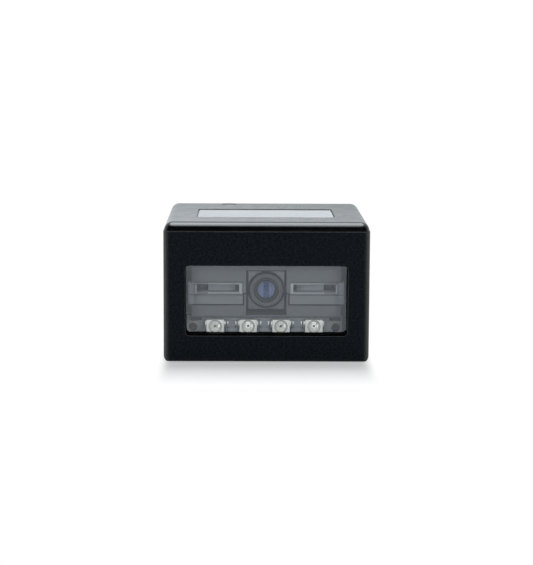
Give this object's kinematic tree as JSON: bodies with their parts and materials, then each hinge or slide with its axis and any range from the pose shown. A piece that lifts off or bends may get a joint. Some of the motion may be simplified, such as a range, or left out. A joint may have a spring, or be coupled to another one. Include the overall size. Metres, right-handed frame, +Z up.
{
  "type": "fixed barcode reader",
  "caption": "Compact fixed barcode reader: black cast box with a screwed top cover, recessed window, scan engine with lens, aimer bars and lamp row, rear cable grommet and tapped base.",
  "frame": {"origin": "middle of the flat base", "axes": "+Z up from the base to the cover; -Y out of the window; +Y out of the cable entry; +X to the right seen from the front"},
  "size_m": [0.041, 0.0415, 0.028],
  "materials": {
    "case_paint": "satin",
    "black_rubber": "matte",
    "window_clear": "gloss",
    "label_foil": "satin",
    "pipe_plastic": "gloss",
    "black_screw": "satin",
    "bright_screw": "satin",
    "engine_plastic": "matte",
    "barrel_black": "satin",
    "coated_glass": "gloss",
    "clear_plastic": "gloss",
    "grey_plastic": "matte",
    "dark_board": "satin",
    "green_board": "satin",
    "copper_plating": "satin",
    "lamp_white": "matte",
    "lamp_clear": "gloss",
    "chip_black": "matte",
    "tin": "satin",
    "connector_cream": "matte",
    "gold_pin": "polished",
    "flex_amber": "satin"
  },
  "bodies": {
    "root": {"housing": "case_paint", "top_cover": "case_paint", "window_seal": "black_rubber", "window_pane": "window_clear", "top_label": "label_foil", "light_pipe": "pipe_plastic", "cable_grommet": "black_rubber", "cover_screws": "black_screw", "engine_housing": "engine_plastic", "engine_screws": "bright_screw", "lens_holder": "engine_plastic", "lens_barrel": "barrel_black", "front_glass": "coated_glass", "rear_glass": "coated_glass", "aimer_bar_left": "clear_plastic", "aimer_bar_right": "clear_plastic", "emitter_left": "grey_plastic", "emitter_right": "grey_plastic", "light_board": "dark_board", "hole_plating": "copper_plating", "lamp_1": "lamp_white", "lamp_2": "lamp_white", "lamp_3": "lamp_white", "lamp_4": "lamp_white", "dome_1": "lamp_clear", "dome_2": "lamp_clear", "dome_3": "lamp_clear", "dome_4": "lamp_clear", "lamp_chips": "chip_black", "lamp_leads": "tin", "resistor_bodies": "chip_black", "resistor_caps": "tin", "sensor_board": "green_board", "sensor_screws": "bright_screw", "image_sensor": "chip_black", "sensor_glass": "window_clear", "sensor_clip": "connector_cream", "decoder_board": "green_board", "processor": "chip_black", "memory_chip": "chip_black", "crystal": "tin", "status_lamp": "lamp_white", "buzzer": "chip_black", "cable_socket": "connector_cream", "socket_pins": "gold_pin", "decoder_clip": "connector_cream", "flex_cable": "flex_amber"}
  },
  "joints": []
}
